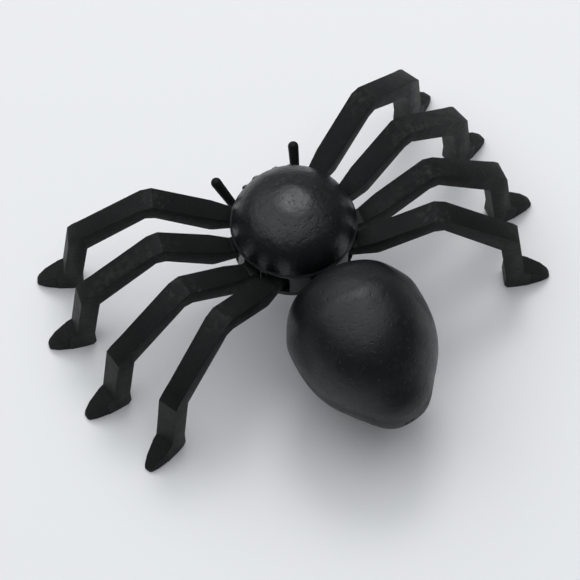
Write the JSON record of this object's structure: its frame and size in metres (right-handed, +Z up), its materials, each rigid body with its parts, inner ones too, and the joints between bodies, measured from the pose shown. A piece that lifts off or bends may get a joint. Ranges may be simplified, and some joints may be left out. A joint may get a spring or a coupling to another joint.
{
  "type": "eight-legged spider walking robot",
  "caption": "Spider walking robot with a domed thorax, an egg-shaped abdomen and bent bar legs: a link swings the corner legs and a see-saw frame lifts the middle ones.",
  "frame": {"origin": "on the floor under the middle of the robot's bounding box", "axes": "+X to the robot's left, head towards -Y, +Z up; the feet stand on Z = 0"},
  "size_m": [0.3162, 0.2243, 0.1109],
  "materials": {
    "shell_black": "satin, finely pitted",
    "underside_black": "satin moulded",
    "leg_black": "satin moulded, faintly green grey",
    "toe_rubber": "matte rubber",
    "fang_black": "gloss",
    "eye_red": "clear dark red moulded lens",
    "steel": "zinc plated",
    "servo_blue": "tinted case",
    "nylon_white": "natural nylon",
    "frame_grey": "moulded frame",
    "cell_wrap": "plain wrapped cell",
    "contact_metal": "nickel plated spring steel",
    "board_green": "coated laminate",
    "chip_black": "moulded package"
  },
  "bodies": {
    "root": {"belly_pan": "underside_black", "thorax_dome": "shell_black", "dome_screws": "steel", "hip_pins": "steel", "chassis_screws": "steel", "eye_lenses": "eye_red", "fang_left": "fang_black", "fang_right": "fang_black", "palp_left": "leg_black", "palp_right": "leg_black", "swing_servo": "servo_blue", "lift_servo": "servo_blue", "servo_screws": "steel", "chassis_frame": "frame_grey", "power_switch": "chip_black", "waist_coupler": "underside_black", "abdomen_upper": "shell_black", "abdomen_lower": "underside_black", "abdomen_screws": "steel", "battery_box": "frame_grey", "frame_screws": "steel", "board_screws": "steel", "battery_cells": "cell_wrap", "battery_contacts": "contact_metal", "controller_board": "board_green", "board_chips": "chip_black", "board_connectors": "nylon_white"},
    "switch_knob": {"switch_slider": "chip_black"},
    "battery_cover": {"battery_door": "underside_black"},
    "swing_arm": {"swing_shaft": "steel", "swing_horn": "nylon_white", "swing_horn_screw": "steel"},
    "link": {"swing_link": "frame_grey"},
    "rocker": {"rocker_frame": "frame_grey", "rocker_shaft": "steel", "leg_screws": "steel", "lift_horn": "nylon_white", "lift_horn_screws": "steel", "lift_shaft": "steel", "leg_second_left": "leg_black", "toe_second_left": "toe_rubber", "leg_second_right": "leg_black", "toe_second_right": "toe_rubber", "leg_third_left": "leg_black", "toe_third_left": "toe_rubber", "leg_third_right": "leg_black", "toe_third_right": "toe_rubber"},
    "leg_front_left": {"leg_front_left": "leg_black", "toe_front_left": "toe_rubber"},
    "leg_front_right": {"leg_front_right": "leg_black", "toe_front_right": "toe_rubber"},
    "leg_rear_left": {"leg_rear_left": "leg_black", "toe_rear_left": "toe_rubber"},
    "leg_rear_right": {"leg_rear_right": "leg_black", "toe_rear_right": "toe_rubber"}
  },
  "joints": [
    {"name": "swing_turn", "type": "hinge", "parent": "root", "child": "swing_arm", "pos_m": [0, -0.055, 0.073], "axis": [0, 0, 1], "range_deg": [-8, 8]},
    {"name": "link_turn", "type": "hinge", "parent": "swing_arm", "child": "link", "pos_m": [0, -0.0615, 0.076], "axis": [0, 0, 1], "range_deg": [-8, 8]},
    {"name": "rocker_tilt", "type": "hinge", "parent": "root", "child": "rocker", "pos_m": [0, -0.034, 0.063], "axis": [0, 1, 0], "range_deg": [-4, 4]},
    {"name": "switch_slide", "type": "slide", "parent": "root", "child": "switch_knob", "axis": [1, 0, 0], "range_m": [0, 0.0024]},
    {"name": "battery_cover_off", "type": "slide", "parent": "root", "child": "battery_cover", "axis": [0, 0, -1], "range_m": [0, 0.02]},
    {"name": "hip_front_left", "type": "hinge", "parent": "root", "child": "leg_front_left", "pos_m": [0.016, -0.055, 0.063], "axis": [0, 0, 1], "range_deg": [-8, 8]},
    {"name": "hip_front_right", "type": "hinge", "parent": "root", "child": "leg_front_right", "pos_m": [-0.016, -0.055, 0.063], "axis": [0, 0, 1], "range_deg": [-8, 8]},
    {"name": "hip_rear_left", "type": "hinge", "parent": "root", "child": "leg_rear_left", "pos_m": [0.016, -0.013, 0.063], "axis": [0, 0, 1], "range_deg": [-8, 8]},
    {"name": "hip_rear_right", "type": "hinge", "parent": "root", "child": "leg_rear_right", "pos_m": [-0.016, -0.013, 0.063], "axis": [0, 0, 1], "range_deg": [-8, 8]}
  ],
  "couplings": [
    {"joint": "link_turn", "follows": "swing_turn", "ratio": -1},
    {"joint": "hip_front_left", "follows": "swing_turn", "ratio": 1},
    {"joint": "hip_front_right", "follows": "swing_turn", "ratio": 1},
    {"joint": "hip_rear_left", "follows": "swing_turn", "ratio": 1},
    {"joint": "hip_rear_right", "follows": "swing_turn", "ratio": 1}
  ]
}
